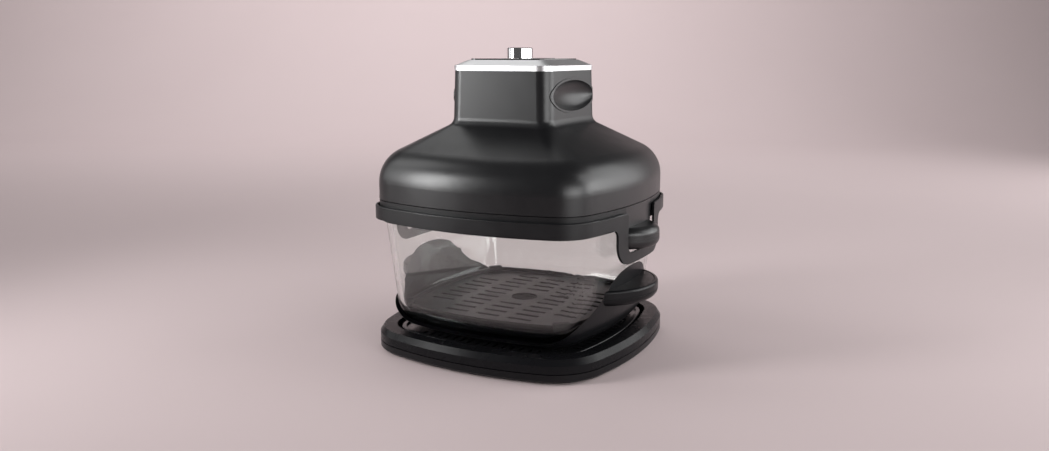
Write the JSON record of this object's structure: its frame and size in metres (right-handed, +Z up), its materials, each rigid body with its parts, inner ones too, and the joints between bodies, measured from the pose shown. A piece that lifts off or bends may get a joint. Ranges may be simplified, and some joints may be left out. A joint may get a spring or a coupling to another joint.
{
  "type": "pod air fryer",
  "caption": "Hot-air fryer with a domed power head and finger-grip neck standing on a clear glass bowl in a black cradle, with a lift-off collar and heat-proof base.",
  "frame": {"origin": "centre of the footprint, on the floor under the feet", "axes": "+Z up, -Y the front, +X and -X the sides with the carrying tabs"},
  "size_m": [0.274, 0.2468, 0.2839],
  "materials": {
    "satin_black": "satin",
    "gloss_black": "gloss",
    "coated_black": "satin non-stick coating",
    "rubber_black": "matte",
    "clear_glass": "clear polished",
    "silver_paint": "satin silver",
    "knob_chrome": "polished",
    "steel_zinc": "zinc plated",
    "steel_plain": "satin",
    "steel_dark": "heat darkened",
    "liner_aluminium": "satin",
    "wool_felt": "felted mineral wool",
    "white_ceramic": "matte",
    "board_green": "solder resist",
    "relay_grey": "matte"
  },
  "bodies": {
    "base": {"base_shell": "gloss_black", "base_pan": "satin_black", "trivet_plate": "coated_black", "base_feet": "rubber_black", "base_screws": "steel_zinc"},
    "bowl": {"glass_bowl": "clear_glass", "cradle": "satin_black", "handle_cap_left": "satin_black", "handle_cap_right": "satin_black", "handle_screws": "steel_zinc", "cradle_pads": "rubber_black"},
    "crisper": {"crisper_plate": "coated_black", "crisper_bumpers": "rubber_black"},
    "collar": {"collar": "satin_black", "rim_seal": "rubber_black"},
    "rotor": {"hot_air_fan": "liner_aluminium", "motor_shaft": "steel_plain", "cooling_fan": "relay_grey", "fan_nut": "steel_zinc"},
    "knob": {"control_knob": "knob_chrome", "knob_pointer": "gloss_black", "encoder_shaft": "steel_plain"},
    "interlock": {"interlock_pin": "relay_grey"},
    "head": {"hood": "satin_black", "head_frame": "satin_black", "lift_tab_left": "satin_black", "lift_tab_right": "satin_black", "lift_tab_pins": "steel_zinc", "drop_plate_left": "satin_black", "drop_plate_right": "satin_black", "plate_rivets": "steel_zinc", "frame_seal": "rubber_black", "frame_screws": "steel_zinc", "grip_left": "satin_black", "grip_right": "satin_black", "rear_vent": "satin_black", "cord_gland": "rubber_black", "fan_guard": "steel_plain", "guard_screws": "steel_zinc", "inner_liner": "liner_aluminium", "heater_coil": "steel_dark", "heater_clips": "steel_plain", "insulation_disc": "wool_felt", "motor_plate": "steel_zinc", "plate_screws": "steel_zinc", "motor_screws": "steel_zinc", "motor": "steel_plain", "temp_sensor": "steel_plain", "thermal_fuse": "white_ceramic", "top_bezel": "silver_paint", "control_panel": "gloss_black", "control_board": "board_green", "board_screws": "steel_zinc", "display_module": "satin_black", "encoder_body": "steel_plain", "relay": "relay_grey", "safety_switch": "relay_grey"}
  },
  "joints": [
    {"name": "bowl_lift", "type": "slide", "parent": "base", "child": "bowl", "axis": [0, 0, 1], "range_m": [0, 0.05]},
    {"name": "crisper_lift", "type": "slide", "parent": "bowl", "child": "crisper", "axis": [0, 0, 1], "range_m": [0, 0.07]},
    {"name": "collar_lift", "type": "slide", "parent": "bowl", "child": "collar", "axis": [0, 0, 1], "range_m": [0, 0.06]},
    {"name": "head_lift", "type": "slide", "parent": "collar", "child": "head", "axis": [0, 0, 1], "range_m": [0, 0.1]},
    {"name": "fan_spin", "type": "hinge", "parent": "head", "child": "rotor", "pos_m": [0, 0, 0.2], "axis": [0, 0, 1], "continuous": true},
    {"name": "knob_turn", "type": "hinge", "parent": "head", "child": "knob", "pos_m": [0, -0.009, 0.278], "axis": [0, 0, 1], "continuous": true},
    {"name": "interlock_press", "type": "slide", "parent": "head", "child": "interlock", "axis": [0, 0, 1], "range_m": [0, 0.002], "stiffness_N_per_m": 150}
  ]
}
